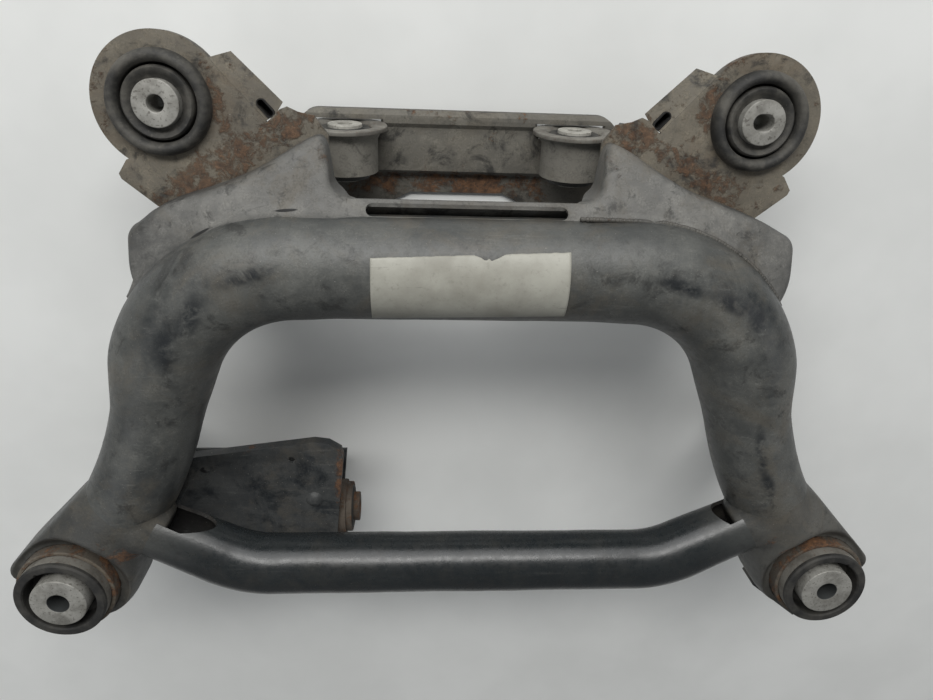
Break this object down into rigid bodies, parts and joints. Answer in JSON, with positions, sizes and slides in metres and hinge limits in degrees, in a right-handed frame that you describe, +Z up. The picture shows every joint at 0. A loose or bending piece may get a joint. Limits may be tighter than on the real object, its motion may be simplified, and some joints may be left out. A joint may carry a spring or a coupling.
{
  "type": "car subframe",
  "caption": "Rear subframe of a passenger car: bent steel tube with a front brace, pressed rear panel and wings, rubber body mounts and differential mounts.",
  "frame": {"origin": "midway between the upper faces of the two front mount sleeves", "axes": "+X across the car, +Y to the rear of the car, +Z up, along the front body bolts"},
  "size_m": [0.78, 0.5372, 0.2095],
  "materials": {
    "tube_coat": "satin black coat, dusty and scuffed",
    "panel_coat": "worn black coat under a film of dust",
    "rusted_coat": "black coat with patches of rust",
    "bush_steel": "dull grey steel, dusty",
    "sleeve_metal": "bare and scuffed",
    "label": "aged label film, bare, scratched",
    "rubber": "dusty black"
  },
  "bodies": {
    "root": {"main_tube": "tube_coat", "front_brace": "tube_coat", "top_panel": "panel_coat", "left_wing": "rusted_coat", "right_wing": "rusted_coat", "left_front_shell": "rusted_coat", "right_front_shell": "rusted_coat", "left_front_mount_tube": "rusted_coat", "right_front_mount_tube": "rusted_coat", "left_front_bush_shell": "bush_steel", "right_front_bush_shell": "bush_steel", "left_front_rubber": "rubber", "right_front_rubber": "rubber", "left_front_sleeve": "sleeve_metal", "right_front_sleeve": "sleeve_metal", "left_rear_mount_tube": "panel_coat", "right_rear_mount_tube": "panel_coat", "left_rear_bush_shell": "bush_steel", "right_rear_bush_shell": "bush_steel", "left_rear_rubber": "rubber", "right_rear_rubber": "rubber", "left_rear_sleeve": "sleeve_metal", "right_rear_sleeve": "sleeve_metal", "rear_crossmember": "rusted_coat", "left_side_plate": "panel_coat", "right_side_plate": "panel_coat", "left_diff_tube": "bush_steel", "right_diff_tube": "bush_steel", "left_diff_bush_shell": "bush_steel", "right_diff_bush_shell": "bush_steel", "left_diff_rubber": "rubber", "right_diff_rubber": "rubber", "left_diff_sleeve": "sleeve_metal", "right_diff_sleeve": "sleeve_metal", "nose_bracket": "panel_coat", "nose_tube": "bush_steel", "nose_bush_shell": "bush_steel", "nose_rubber": "rubber", "nose_sleeve": "sleeve_metal", "left_upper_link_bracket": "panel_coat", "right_upper_link_bracket": "panel_coat", "left_lower_link_bracket": "panel_coat", "right_lower_link_bracket": "panel_coat", "right_front_tab": "panel_coat"}
  },
  "joints": []
}
